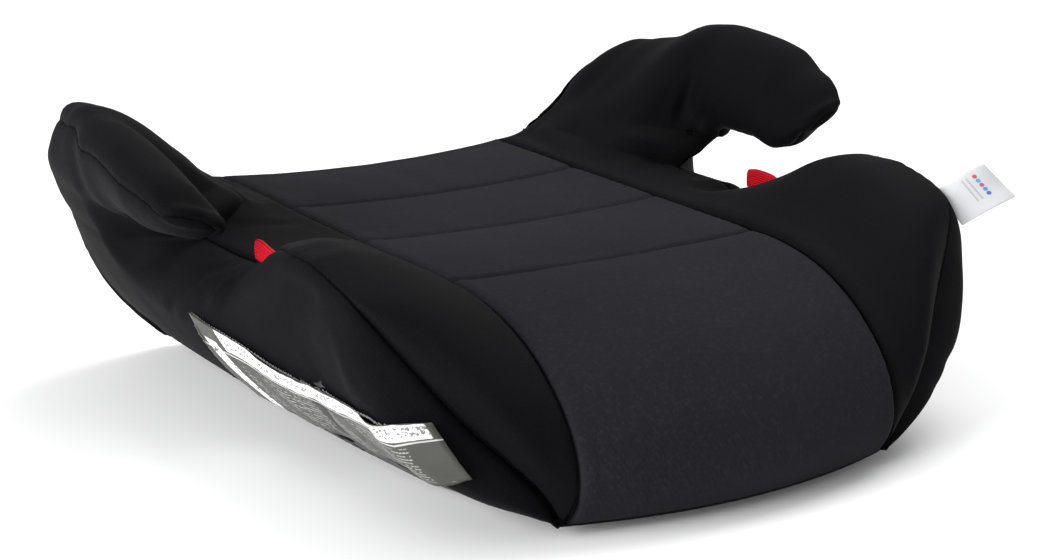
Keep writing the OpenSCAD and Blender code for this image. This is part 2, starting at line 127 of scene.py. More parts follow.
class Rows:
    """Stations from the rear edge over the front roll to the bottom of the front."""

    def __init__(self, step):
        marks = [REAR_Y, GAP_END + 10, GAP_END, TIP_Y, ROLL_START]
        ys = list(marks)
        for a, b in zip(marks, marks[1:]):
            ys += list(np.linspace(a, b, max(2, math.ceil((a - b) / step)) + 1)[1:-1])
        if step < 4:
            ys += [c + k for c in CHANNELS for k in np.arange(-6, 6.1, 1.0)]
        ys = sorted(set(round(v, 3) for v in ys), reverse=True)
        kept = [ys[0]]
        for v in ys[1:]:
            if v in marks and kept[-1] not in marks and kept[-1] - v < 0.6:
                kept[-1] = v
            elif kept[-1] - v >= 0.6 or v in marks:
                kept.append(v)
        turn = list(np.linspace(0, 90, math.ceil(150 / step) + 1)[1:])
        turn += list(np.linspace(90, 120, math.ceil(26 / step) + 1)[1:])
        self.y = np.array(kept + [ROLL_START] * len(turn))[:, None]
        self.turn = np.array([0.0] * len(kept) + turn)[:, None]
        self.flat = self.turn == 0
        a = np.radians(np.minimum(self.turn, 90))
        low = 30 - 0.8 * np.maximum(self.turn - 90, 0)
        self.sin, self.cos = np.sin(a), np.cos(a)
        self.deck_y = np.where(self.turn <= 90, self.y - ROLL_Y * self.sin, FRONT + 0.02 * (30 - low) ** 2)
        self.deck_z = np.where(self.turn <= 90, 30 + ROLL_Z * self.cos, low)

    def seat(self, x):
        hollow = DISH * np.where(self.flat, 0.4 + 0.6 * clamp((self.y + 95) / 280),
                                 0.4 + 0.5 * smooth(self.turn / 30))
        drop = hollow * np.maximum(0, 1 - (x / PANEL) ** 2) * clamp(1.2 - self.turn / 60)
        bow = BOW * x * x * clamp((-40 - self.deck_y) / 150) ** 1.5
        return stack(x, self.deck_y + bow, self.deck_z - drop)

    def seam(self):
        c = curve(CORNER_SEAM, self.turn)
        return (np.where(self.flat, curve(SEAM_X, self.y), c[..., 0]), np.where(self.flat, self.y, c[..., 1]),
                np.where(self.flat, curve(SEAM_Z, self.y), c[..., 2]))

    def low_inner(self, s):
        a, (bx, by, bz) = self.seat(np.array([[PANEL]])), self.seam()
        size = np.where(self.flat, 2 + 7 * clamp((10 - self.y) / 70), 9) * clamp((120 - self.turn) / 45)
        lift = size * np.sin(np.pi * s ** 1.6)
        return stack(lerp(a[..., 0], bx, s), lerp(a[..., 1], by, s) - lift * self.sin,
                     lerp(a[..., 2], bz, s) + lift * self.cos)

    def low_outer(self, s, crest=1.0):
        ax, ay, az = self.seam()
        hem, out = curve(CORNER_HEM, self.turn), curve(CORNER_OUT, self.turn)
        hx, hy = np.where(self.flat, curve(HEM_X, self.y), hem[..., 0]), np.where(self.flat, self.y, hem[..., 1])
        wx = np.where(self.flat, curve(SHOULDER, self.y), out[..., 0])
        wy = np.where(self.flat, self.y, out[..., 1])
        lean, near = 1 - s ** 2, crest * (1 - clamp(s * 2.5)) ** 2
        return stack(lerp(lerp(hx, wx, lean), ax, near), lerp(lerp(hy, wy, lean), ay, near), lerp(RIM_H, az, 1 - s))

    def tall_inner(self, q):
        a = self.seat(np.array([[PANEL]]))
        rise = np.sin(np.pi / 2 * q) ** 2.1
        return stack(lerp(a[..., 0], curve(RIDGE_X, self.y), q), self.y, lerp(a[..., 2], curve(RIDGE_Z, self.y), rise))

    def tall_outer(self, s):
        rx, rz = curve(RIDGE_X, self.y), curve(RIDGE_Z, self.y)
        return stack(lerp(rx, curve(SHOULDER, self.y) + 8, s) + 8 * np.sin(0.9 * np.pi * s), self.y, lerp(rz, 118, s))

    def hook(self, angle, shrink=1.0):
        hi, lo = curve(RIDGE_Z, self.y), curve(ROOF_Z, self.y)
        a, w = np.radians(angle), ARM_HALF * curve(HOOK_HALF, self.y)
        lean = curve(RIDGE_X, self.y) - ARM_X
        return stack(ARM_X + shrink * (w * np.cos(a) + lean * np.sin(a)), self.y,
                     (hi + lo) / 2 + shrink * (hi - lo) / 2 * np.sin(a))


def graded(n):
    """0 to 1 in n steps that are finer at both ends, where the seams are."""
    t = np.linspace(0, 1, n)
    return (t - 0.11 * np.sin(2 * np.pi * t))[None, :]


def side_patches(rows, step):
    """The inner and outer side panels of the right side, each a grid with holes where there is no cloth."""
    blend = lambda reach: smooth((GAP_END + reach - rows.y) / reach)[..., None]
    wide = blend(30)
    over = rows.y >= GAP_END
    on_hook = (rows.y >= TIP_Y) & rows.flat
    n = lambda size: max(6, round(size / step))
    s, h, web = graded(n(95)), graded(n(85)), np.linspace(0, 1, 5)[None, 1:-1]

    def joined(low, slit, hook):
        grid = np.concatenate([low, slit, hook], 1)
        ok = np.concatenate([np.ones(low.shape[:2], bool), np.broadcast_to(over, slit.shape[:2]),
                             np.broadcast_to(on_hook, hook.shape[:2])], 1)
        return grid, ok

    def bridge(a, b):
        return lerp(a[:, -1:], b[:, :1], web[..., None])

    low = lerp(rows.tall_inner(0.24 * s), rows.low_inner(s), blend(18))
    turn = 270 - (270 - SEAM_ANGLE) * h
    q = 0.36 + 0.64 * clamp(h / 0.86)
    tall = np.where((h <= 0.86)[..., None], rows.tall_inner(q), rows.tall_outer(SEAM_DROP * clamp((h - 0.86) / 0.14)))
    hook = lerp(tall, rows.hook(turn), lerp(blend(18), wide, smooth(h)[..., None]))
    slit_tall = rows.tall_inner(0.24 + 0.12 * web)
    inner = joined(low, lerp(slit_tall, bridge(low, hook), blend(18)), hook)

    k, m = graded(n(70)), np.linspace(0, 1, n(105))[None, :] ** 1.15
    hook_out = lerp(rows.tall_outer(1 - (1 - SEAM_DROP) * k), rows.hook(-90 + (90 + SEAM_ANGLE) * k), wide)
    low_out = lerp(rows.low_outer(m, 0.0), rows.low_outer(m), wide)[:, ::-1]
    slit_out = bridge(low_out, hook_out)
    outer = joined(low_out, slit_out, hook_out)
    return inner, outer, turn, -90 + (90 + SEAM_ANGLE) * k


def cap_patches(rows, turns):
    """Rounded end of the hook: rings that close up a little way beyond its tip."""
    tip = Rows.__new__(Rows)
    tip.y = np.full((7, 1), TIP_Y)
    u = np.linspace(0, 1, 7)[:, None]
    out = []
    for turn in turns:
        grid = tip.hook(turn, np.sqrt(1 - u ** 2))
        grid[..., 1] -= 4.5 * u
        out.append((grid, np.ones(grid.shape[:2], bool)))
    return out


class Garment:
    """All cover panels as one welded mesh with a panel number for each face."""

    def __init__(self, step):
        rows = Rows(step)
        x = (graded(round(2 * PANEL / step)) * 2 - 1) * PANEL
        seat = rows.seat(x)
        inner, outer, t_in, t_out = side_patches(rows, step)
        cap_in, cap_out = cap_patches(rows, (t_in, t_out))
        edge = np.concatenate([inner[0][0], outer[0][0][::-1][1:]])
        left = edge[::-1] * [-1, 1, 1]
        top = np.concatenate([left[:-1], seat[0], edge[1:]])
        run = np.concatenate([[0], np.cumsum(np.linalg.norm(np.diff(top, axis=0), axis=1))])
        t = 2 * run / run[-1] - 1
        foot = stack(curve(HEM_X, REAR_Y) * t, REAR_Y, RIM_H)
        v = np.linspace(0, 1, max(8, round(95 / step)))[:, None, None]
        back = lerp(top[None], foot[None], v)
        back[..., 1] += 3.5 * np.sin(np.pi * v[..., 0]) * (1 - np.abs(t) ** 4)
        self.names = ["seat", "inner_right", "outer_right", "inner_left", "outer_left", "back"]
        patches = [(0, seat, None, False)]
        for side, first in ((1, 1), (-1, 3)):
            for k, (grid, ok) in ((first, inner), (first + 1, outer), (first, cap_in), (first + 1, cap_out)):
                patches.append((k, grid * [side, 1, 1], ok, (k - first == 1) != (side < 0)))
        patches.append((5, back, None, False))
        points, faces, panel, base = [], [], [], 0
        for k, grid, ok, flip in patches:
            r, c = grid.shape[:2]
            ok = np.ones((r, c), bool) if ok is None else ok
            at = np.arange(r * c).reshape(r, c) + base
            quad = np.stack([at[:-1, :-1], at[1:, :-1], at[1:, 1:], at[:-1, 1:]], -1)
            full = ok[:-1, :-1] & ok[1:, :-1] & ok[1:, 1:] & ok[:-1, 1:]
            quad = quad[full]
            faces.append(quad[:, ::-1] if flip else quad)
            panel.append(np.full(len(quad), k))
            points.append(np.where(ok[..., None], grid, 0).reshape(-1, 3))
            base += r * c
        points, faces, panel = np.concatenate(points), np.concatenate(faces), np.concatenate(panel)
        _, first, weld = np.unique(np.round(points / 0.02 + 0.137), axis=0, return_index=True, return_inverse=True)
        faces = weld.reshape(-1)[faces]
        used, again = np.unique(faces, return_inverse=True)
        self.co, self.faces, self.panel = points[first][used], again.reshape(-1, 4), panel
        two = np.concatenate([self.faces[:, [i, (i + 1) % 4]] for i in range(4)])
        owner = np.tile(self.panel, 4)
        two_sorted = np.sort(two, 1)
        real = two_sorted[:, 0] != two_sorted[:, 1]
        two_sorted, owner = two_sorted[real], owner[real]
        self.edges, index, count = np.unique(two_sorted, axis=0, return_inverse=True, return_counts=True)
        index = index.reshape(-1)
        high, low = np.full(len(self.edges), -1), np.full(len(self.edges), 99)
        np.maximum.at(high, index, owner)
        np.minimum.at(low, index, owner)
        self.rim_edges = self.edges[count == 1]
        n = len(self.co)
        self.seam, self.rim = np.zeros(n, bool), np.zeros(n, bool)
        self.seam[self.edges[high != low]] = True
        self.rim[self.rim_edges] = True

    def polygons(self, only=None):
        quads = self.faces if only is None else self.faces[self.panel == only]
        return [list(dict.fromkeys(f)) for f in quads.tolist()]

    def relax(self, values, rounds, forward=0.5, back=-0.53, hold=None):
        """Evens out values over the mesh; with a backward step it rounds corners without shrinking."""
        a, b = self.edges.T
        w = 1 / (np.linalg.norm(self.co[a] - self.co[b], axis=1) + 0.6)
        total = np.bincount(a, w, len(self.co)) + np.bincount(b, w, len(self.co))
        free = np.ones(len(self.co)) if hold is None else 1 - hold
        values = values.reshape(len(self.co), -1).copy()
        for _ in range(rounds):
            for step in (forward, back):
                if step:
                    mean = np.stack([np.bincount(a, w * v[b], len(v)) + np.bincount(b, w * v[a], len(v))
                                     for v in values.T], -1)
                    values += step * free[:, None] * (mean / total[:, None] - values)
        return values

    def normals(self):
        p = self.co[self.faces]
        n = np.cross(p[:, 2] - p[:, 0], p[:, 3] - p[:, 1])
        out = np.stack([np.bincount(self.faces.ravel(), np.repeat(n[:, k], 4), len(self.co)) for k in range(3)], -1)
        return out / (np.linalg.norm(out, axis=1)[:, None] + 1e-9)


def mesh_object(name, points, faces, scale=MM):
    mesh = bpy.data.meshes.new(name)
    mesh.from_pydata(((np.asarray(points) + shift) * scale).tolist(), [], faces)
    mesh.validate()
    for p in mesh.polygons:
        p.use_smooth = True
    obj = bpy.data.objects.new(name, mesh)
    scene.collection.objects.link(obj)
    return obj


def soften(coarse):
    """The cover blown up a little by the foam under it: a short cloth run held along every sewn line."""
    body = mesh_object("cloth_run", coarse.co, coarse.polygons())
    sewn = coarse.seam | coarse.rim | (coarse.co[:, 2] < RIM_H + 6)
    on_seat = np.zeros(len(coarse.co), bool)
    on_seat[coarse.faces[coarse.panel == 0].ravel()] = True
    for c in CHANNELS:
        sewn |= on_seat & (np.abs(coarse.co[:, 1] - c) < 3.2) & (coarse.co[:, 2] > 60)
    group = body.vertex_groups.new(name="sewn")
    group.add(np.flatnonzero(sewn).tolist(), 1.0, "REPLACE")
    cloth = body.modifiers.new("Cloth", "CLOTH")
    s = cloth.settings
    s.quality, s.mass, s.vertex_group_mass = 6, 0.25, "sewn"
    s.tension_stiffness, s.compression_stiffness, s.shear_stiffness, s.bending_stiffness = 12, 8, 6, 0.6
    s.use_pressure, s.uniform_pressure_force = True, 5.0
    s.effector_weights.gravity = 0
    cloth.point_cache.frame_start, cloth.point_cache.frame_end = 1, 16
    for f in range(1, 17):
        scene.frame_set(f)
    done = body.evaluated_get(bpy.context.evaluated_depsgraph_get()).to_mesh()
    moved = np.empty(len(done.vertices) * 3)
    done.vertices.foreach_get("co", moved)
    move = moved.reshape(-1, 3) / MM - shift - coarse.co
    size = np.linalg.norm(move, axis=1)[:, None]
    move *= np.minimum(1, 4.0 / (size + 1e-9))
    scene.frame_set(1)
    bpy.data.objects.remove(body)
    return move


def carried(coarse, move, dense):
    """The coarse run's movement at each vertex of the dense mesh."""
    tree = KDTree(len(coarse.co))
    for i, p in enumerate(coarse.co):
        tree.insert(p, i)
    tree.balance()
    out = np.zeros_like(dense.co)
    for i, p in enumerate(dense.co):
        near = tree.find_n(p, 6)
        w = np.array([1 / (d * d + 4.0) for _, _, d in near])
        out[i] = (move[[k for _, k, _ in near]] * w[:, None]).sum(0) / w.sum()
    return dense.relax(out, 4, 0.5, 0)


def ripple(p, size, seed):
    """Soft irregular waves in space, from a few sine waves with fixed directions."""
    rng = np.random.default_rng(seed)
    out = 0
    for k in range(7):
        direction = rng.normal(size=3)
        direction /= np.linalg.norm(direction)
        out = out + np.sin(p @ direction * 2 * np.pi / (size * rng.uniform(0.7, 1.5)) + rng.uniform(0, 6.28))
    return out / 7


def fold_field(p, folds):
    """Creases: each runs from a point to a point, with a width and a depth in millimetres."""
    out = np.zeros(len(p))
    for a, b, width, depth in folds:
        a, b = np.array(a, float), np.array(b, float)
        axis = b - a
        t = ((p - a) @ axis) / (axis @ axis)
        off = np.linalg.norm(p - a - clamp(t)[:, None] * axis, axis=1)
        off = off + 0.6 * ripple(p, 18, 5)
        fade = np.sin(np.pi * clamp(0.06 + 0.94 * clamp(t))) ** 0.6
        out += depth * fade * (np.exp(-(off / width) ** 2) - 0.45 * np.exp(-((off - 1.9 * width) / width) ** 2))
    return out


step = 2.5
cover = Garment(step)
hold = np.where(cover.rim, 1.0, 0.0)
cover.co = cover.relax(cover.co, 10 if step < 4 else 5, hold=hold)
coarse = Garment(7.0)
coarse.co = coarse.relax(coarse.co, 3, hold=np.where(coarse.rim, 1.0, 0.0))
move = soften(coarse)
cover.co = cover.co + carried(coarse, move, cover) * (1 - hold)[:, None]

# The cloth runs smoothly past the inner end of each belt gap
x, y, z = cover.co.T
bridge = smooth((y - 66) / 18) * smooth((150 - y) / 40) * smooth((np.abs(x) - 112) / 20) * (z > 40)
cover.co = cover.relax(cover.co, 40 if step < 4 else 15, hold=1 - bridge)

# The armrests are stuffed full and round, with their sewn lines drawn in less than on the bolsters
x, y, z = cover.co.T
arm = smooth((z - 108) / 24) * smooth((np.abs(x) - 130) / 20)
cover.co = cover.co + cover.normals() * (arm * np.where(x < 0, 3.2, 1.6) * smooth((200 - y) / 50))[:, None]
cover.co = cover.relax(cover.co, 30 if step < 4 else 12, hold=1 - arm)
cover.co[:, 2] += arm * np.where(x < 0, 5.0 * smooth((y - 125) / 30) - 5.5 * smooth((125 - y) / 40),
                                 6.0 * smooth((y - 156) / 22) - 4.5 * np.exp(-((y - 136) / 20) ** 2) - smooth((110 - y) / 40))
cheek = smooth((np.abs(x) - 150) / 20) * np.exp(-((z - 102) / 22) ** 2) * smooth((y + 8) / 16) * smooth((196 - y) / 30)
cover.co[:, 0] -= 7.0 * cheek * (x < 0)
web = np.exp(-((y - 84) / 16) ** 2) * np.exp(-((z - 103) / 17) ** 2) * smooth((np.abs(x) - 98) / 20)
cover.co[:, 1] -= 15.0 * web

# How this cover has settled: the armrests hang a little low, the right bolster bulges outwards at its top
x, y, z = cover.co.T
sag = (smooth((z - 100) / 45) * (x < -120) * smooth((y + 40) / 30))[:, None]
ahead = smooth((90 - y) / 80)[:, None]
cover.co = cover.co + sag * (np.array([[0, 0, -8.0]]) + ahead * np.array([[-2.0, 8.0, -2.0]]))
droop = (smooth((z - 100) / 45) * (x > 120) * smooth((100 - y) / 60))[:, None]
cover.co = cover.co + droop * np.array([[0.0, 1.0, 1.5]])
puff = np.exp(-(((x - 178) / 40) ** 2 + ((y + 118) / 42) ** 2 + ((z - 110) / 32) ** 2))[:, None]
cover.co = cover.co + puff * np.array([[8.5, -1.0, 0.0]])
flat_top = (smooth((x - 110) / 30) * smooth((30 - y) / 20) * smooth((y + 75) / 40) * smooth((z - 70) / 20))[:, None]
cover.co = cover.co - flat_top * np.array([[0, 0, 6.0]])
cover.co[:, 2] += 2.3 * clamp(1 - cover.co[:, 2] / 45)

# Sewn lines: distance of every point from the nearest seam and from the nearest quilting channel
tree = KDTree(int(cover.seam.sum()))
for i, p in enumerate(cover.co[cover.seam]):
    tree.insert(p, i)
tree.balance()
seam_d = np.array([tree.find(p)[2] for p in cover.co])
seat_part = np.zeros(len(cover.co), bool)
seat_part[cover.faces[cover.panel == 0].ravel()] = True
on_top = seat_part & (cover.co[:, 2] > 60)
channel_d = np.full(len(cover.co), 99.0)
for c in CHANNELS:
    channel_d = np.where(on_top, np.minimum(channel_d, np.abs(cover.co[:, 1] - c)), channel_d)

p = cover.co
x, y, z = p.T
quiet = np.maximum(0.65 * smooth((z - 112) / 14), 0.8 * smooth((x - 110) / 20) * smooth((-60 - y) / 40))
lift = (1 - quiet) * (-1.7 * np.exp(-(seam_d / 1.7) ** 2) + 0.5 * np.exp(-((seam_d - 6) / 4) ** 2))
pucker = np.sin(2 * np.pi * (y + 0.7 * z) / 8.5 + 2.2 * ripple(p, 40, 2))
lift += 0.16 * pucker * np.exp(-seam_d / 5)
lift -= 1.7 * np.exp(-(channel_d / 1.8) ** 2) + 0.2 * np.exp(-(channel_d / 7.0) ** 2)
lift += 0.14 * np.sin(2 * np.pi * x / 7.3 + 2.5 * ripple(p, 30, 3)) * np.exp(-channel_d / 4)
lift += 0.35 * ripple(p, 70, 1) + 0.18 * ripple(p, 28, 4)
mirrored = np.stack([np.abs(x), y, z], -1)
folds = [((166, 78, 108), (178, 70, 146), 3.0, -2.8), ((158, 90, 106), (174, 88, 144), 3.4, -2.2),
         ((150, 100, 102), (172, 106, 138), 6.0, -0.9), ((110, 60, 99), (160, 92, 101), 5.0, -0.8),
         ((168, 22, 96), (186, 60, 62), 4.5, -1.6), ((160, 26, 96), (150, -2, 100), 3.0, -0.7),
         ((178, 46, 92), (192, 78, 70), 4.5, -0.7)]
lift += fold_field(mirrored, folds)
gather = np.exp(-(((y - 4) / 16) ** 2)) * np.exp(-seam_d / 9) * (z > 118)
lift += 0.22 * gather * np.sin(2 * np.pi * (y + 0.4 * z) / 9 + 2 * ripple(p, 25, 6))
cover.co = cover.co + cover.normals() * lift[:, None] * (1 - hold)[:, None]

# The moulded shell keeps its place: low down the cover lies on it and never inside it
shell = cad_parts["seat_shell"].data
shell_tree = BVHTree.FromPolygons([v.co / MM for v in shell.vertices], [tuple(f.vertices) for f in shell.polygons])
for i in np.flatnonzero(cover.co[:, 2] < 70):
    wall, normal, _, _ = shell_tree.find_nearest(Vector(cover.co[i] + shift))
    depth = 0.8 - (Vector(cover.co[i] + shift) - wall).dot(normal)
    if 0 < depth < 3.4:
        cover.co[i] += np.array(normal) * depth


# ------------------------------------------------------------------ materials
class Nodes:
    """A material's nodes, added one line at a time."""

    def __init__(self, name):
        self.mat = bpy.data.materials.new(name)
        self.mat.use_nodes = True
        self.tree = self.mat.node_tree
        self.tree.nodes.clear()
        self.bsdf = self.add("ShaderNodeBsdfPrincipled")
        self.out = self.add("ShaderNodeOutputMaterial")
        self.link(self.bsdf.outputs[0], self.out.inputs[0])
        self.where = self.add("ShaderNodeTexCoord").outputs["Object"]

    def add(self, kind, **values):
        node = self.tree.nodes.new(kind)
        for k, v in values.items():
            setattr(node, k, v)
        return node

    def link(self, a, b):
        self.tree.links.new(a, b)

    def put(self, socket, value):
        if isinstance(value, bpy.types.NodeSocket):
            self.link(value, socket)
        else:
            socket.default_value = value

    def noise(self, scale, detail=2.0, where=None, rough=0.5):
        n = self.add("ShaderNodeTexNoise")
        self.put(n.inputs["Vector"], where or self.where)
        self.put(n.inputs["Scale"], scale)
        self.put(n.inputs["Detail"], detail)
        self.put(n.inputs["Roughness"], rough)
        return n.outputs[0]

    def voronoi(self, scale, where=None, feature="F1"):
        n = self.add("ShaderNodeTexVoronoi", feature=feature)
        self.put(n.inputs["Vector"], where or self.where)
        self.put(n.inputs["Scale"], scale)
        return n.outputs["Distance"]

    def math(self, op, a, b=0.0, c=0.0):
        n = self.add("ShaderNodeMath", operation=op)
        for s, v in zip(n.inputs, (a, b, c)):
            self.put(s, v)
        return n.outputs[0]

    def ramp(self, value, low, high, to=(0.0, 1.0)):
        n = self.add("ShaderNodeMapRange")
        n.clamp = True
        for s, v in zip(n.inputs, (value, low, high, *to)):
            self.put(s, v)
        return n.outputs[0]

    def mix(self, t, a, b):
        n = self.add("ShaderNodeMix", data_type="RGBA")
        self.put(n.inputs[0], t)
        self.put(n.inputs[6], a)
        self.put(n.inputs[7], b)
        return n.outputs[2]

    def axis(self, name, where=None):
        n = self.add("ShaderNodeSeparateXYZ")
        self.link(where or self.where, n.inputs[0])
        return n.outputs[name]

    def value(self, name):
        return self.add("ShaderNodeAttribute", attribute_name=name).outputs["Fac"]

    def bump(self, height, strength, distance, normal=None):
        n = self.add("ShaderNodeBump")
        self.put(n.inputs["Height"], height)
        self.put(n.inputs["Strength"], strength)
        self.put(n.inputs["Distance"], distance)
        if normal:
            self.link(normal, n.inputs["Normal"])
        return n.outputs[0]

    def finish(self, color, rough, normal=None, **more):
        self.put(self.bsdf.inputs["Base Color"], color)
        self.put(self.bsdf.inputs["Roughness"], rough)
        if normal:
            self.link(normal, self.bsdf.inputs["Normal"])
        for k, v in more.items():
            self.put(self.bsdf.inputs[k.replace("_", " ")], v)
        return self.mat


def rgb(r, g, b):
    return (r, g, b, 1.0)


def cloth_material(name, dark, light, loop, sheen, sheen_rough, rough, speckle, bump):
    """Stretch knit: fine loops, a little lint, paler where it is worn, with painted shade darkening it in its seams."""
    n = Nodes(name)
    broad = n.noise(9, 3)
    fine = n.noise(420, 3, rough=0.7)
    loops = n.voronoi(loop)
    wale = n.math("SINE", n.math("MULTIPLY", n.math("ADD", n.axis("X"), n.math("MULTIPLY", n.axis("Z"), 0.6)), loop * 3.4))
    knit = n.math("ADD", n.math("MULTIPLY", loops, -0.8), n.math("MULTIPLY", wale, 0.12))
    tone = n.mix(n.ramp(broad, 0.3, 0.7), rgb(*dark), rgb(*light))
    tone = n.mix(n.math("MULTIPLY", n.ramp(fine, 0.5, 0.78), speckle), tone, rgb(*[min(1, v * 3.2) for v in light]))
    lint = n.math("MULTIPLY", n.ramp(n.noise(1500, 1), 0.78, 0.86), 0.2)
    tone = n.mix(lint, tone, rgb(0.10, 0.10, 0.11))
    seam = n.value("seam")
    groove_and_shade = n.ramp(seam, 0.25, 1.1)
    # Painted shade: the colour sinks to about a third of the dark tone in the seam grooves and quilting channels; the
    # same value also deepens the groove bump.
    tone = n.mix(groove_and_shade, rgb(*[v * 0.35 for v in dark]), tone)
    first = n.bump(knit, bump, 0.0004)
    beat = n.math("SINE", n.math("MULTIPLY", n.math("ADD", n.math("ADD", n.axis("Y"), n.axis("Z")), n.axis("X")), 2200))
    stitch = n.math("MULTIPLY", n.ramp(beat, -0.2, 0.5), n.math("SUBTRACT", 1.0, n.ramp(seam, 0.4, 1.2)))
    second = n.bump(n.math("ADD", groove_and_shade, n.math("MULTIPLY", stitch, 0.6)), 0.6, 0.0008, first)
    third = n.bump(n.noise(60, 4), 0.12, 0.002, second)
    return n.finish(tone, n.ramp(fine, 0.2, 0.8, (rough - 0.06, rough + 0.06)), third, Sheen_Weight=sheen,
                    Sheen_Roughness=sheen_rough, Sheen_Tint=rgb(0.75, 0.78, 0.85), Specular_IOR_Level=0.03)


jersey = cloth_material("black_jersey", (0.0024, 0.0024, 0.0028), (0.0037, 0.0037, 0.0044), 900, 0.007, 0.5, 0.68, 0.12, 0.35)
knit = cloth_material("quilted_knit", (0.0110, 0.0106, 0.0132), (0.0140, 0.0136, 0.0168), 620, 0.015, 0.5, 0.86, 0.22, 0.5)


def plastic_material(name, dark, rough):
    n = Nodes(name)
    grain = n.noise(900, 3)
    tone = n.mix(n.ramp(n.noise(14, 4), 0.35, 0.7), rgb(*dark), rgb(*[v * 1.5 for v in dark]))
    return n.finish(tone, n.ramp(grain, 0.3, 0.7, (rough - 0.08, rough + 0.1)), n.bump(grain, 0.25, 0.0003))


def rubber_material():
    n = Nodes("foot_rubber")
    rings = n.math("SINE", n.math("MULTIPLY", n.math("ADD", n.axis("X"), n.axis("Y")), 3100))
    worn = n.mix(n.ramp(n.noise(160, 5), 0.45, 0.75), rgb(0.012, 0.012, 0.012), rgb(0.05, 0.048, 0.045))
    return n.finish(worn, 0.85, n.bump(n.math("ADD", rings, n.noise(500)), 0.4, 0.0005))


def steel_material():
    n = Nodes("screw_steel")
    turned = n.noise(1400, 2)
    tone = n.mix(n.noise(90, 3), rgb(0.45, 0.45, 0.46), rgb(0.66, 0.66, 0.68))
    return n.finish(tone, n.ramp(turned, 0.3, 0.7, (0.28, 0.48)), n.bump(turned, 0.2, 0.0002), Metallic=1.0)


def ribbon_material(name, dark, light, rib, sheen):
    """Woven ribbon with ribs across it, coloured darker in the rib troughs as painted shade; u runs along the ribbon
    and v across, in millimetres.
    """
    n = Nodes(name)
    u, v = n.value("run"), n.value("across")
    ribs = n.math("SINE", n.math("MULTIPLY", u, 2 * math.pi / rib))
    warp = n.math("SINE", n.math("MULTIPLY", v, 2 * math.pi / (rib * 0.6)))
    # Painted shade: the light tone on the rib tops, the dark tone in the troughs between them.
    tone = n.mix(n.ramp(ribs, -0.9, 0.7), rgb(*dark), rgb(*light))
    tone = n.mix(n.math("MULTIPLY", n.ramp(n.noise(300, 3), 0.4, 0.8), 0.35), tone, rgb(*[k * 0.7 for k in dark]))
    height = n.math("ADD", ribs, n.math("MULTIPLY", warp, 0.35))
    return n.finish(tone, 0.55, n.bump(height, 0.55, 0.0003), Sheen_Weight=sheen, Sheen_Roughness=0.4,
                    Sheen_Tint=rgb(*light), Specular_IOR_Level=0.12)


def film_material():
    """Printed film with made-up marks: a pale band and a pale end strip, a rule, rows of short grey dashes."""
    n = Nodes("printed_film")
    u, v = n.value("run"), n.value("across")
    ragged = n.math("MULTIPLY", n.math("SUBTRACT", n.noise(90, 3), 0.5), 2.6)

    def between(value, low, high, soft=0.4):
        return n.math("MULTIPLY", n.ramp(value, low - soft, low + soft), n.ramp(value, high + soft, high - soft))

    base = n.mix(n.noise(60, 4), rgb(0.030, 0.030, 0.025), rgb(0.046, 0.046, 0.039))
    band = n.math("MULTIPLY", between(n.math("ADD", v, ragged), 28.5, 37.2), between(u, 27, 202))
    slant = n.math("ADD", n.math("ADD", u, ragged), n.math("MULTIPLY", v, 0.35))
    strip = n.math("MULTIPLY", between(slant, 17, 30), n.ramp(v, 31, 30))
    scrawl = n.ramp(n.noise(800, 3), 0.46, 0.54)
    white = n.mix(n.math("MULTIPLY", scrawl, between(v, 30, 36.5, 1.0)), rgb(0.86, 0.87, 0.87), rgb(0.16, 0.16, 0.16))
    curls = n.ramp(n.math("ABSOLUTE", n.math("SUBTRACT", n.noise(150, 1), 0.5)), 0.035, 0.015)
    pale = n.mix(curls, rgb(0.84, 0.85, 0.85), rgb(0.10, 0.10, 0.10))
    row = n.math("FLOOR", n.math("DIVIDE", v, 2.0))
    cell = n.math("ADD", n.math("DIVIDE", u, 1.35), n.math("MULTIPLY", row, 7.31))
    w = n.add("ShaderNodeTexWhiteNoise", noise_dimensions="1D")
    n.put(w.inputs["W"], n.math("ADD", n.math("FLOOR", cell), n.math("MULTIPLY", row, 57.0)))
    middle = n.math("ABSOLUTE", n.math("SUBTRACT", n.math("FRACT", n.math("DIVIDE", v, 2.0)), 0.5))
    gaps = n.math("ABSOLUTE", n.math("SUBTRACT", n.math("FRACT", cell), 0.5))
    dash = n.math("MULTIPLY", n.ramp(w.outputs["Value"], 0.28, 0.32), n.ramp(middle, 0.22, 0.14))
    dash = n.math("MULTIPLY", dash, n.ramp(gaps, 0.46, 0.38))
    blocks = n.ramp(n.math("SINE", n.math("ADD", n.math("MULTIPLY", u, 0.075), n.math("MULTIPLY", row, 0.12))), -0.8, -0.75)
    field = n.math("MULTIPLY", n.math("MULTIPLY", between(v, 3, 25), between(u, 32, 192)), blocks)
    tone = n.mix(n.math("MULTIPLY", n.math("MULTIPLY", dash, field), 0.6), base, rgb(0.46, 0.47, 0.45))
    tone = n.mix(between(v, 26.6, 27.5, 0.15), tone, rgb(0.40, 0.41, 0.40))
    tone = n.mix(strip, tone, pale)
    tone = n.mix(band, tone, white)
    return n.finish(tone, n.ramp(n.noise(200, 2), 0.3, 0.7, (0.36, 0.5)), n.bump(n.noise(160, 4), 0.22, 0.0012))


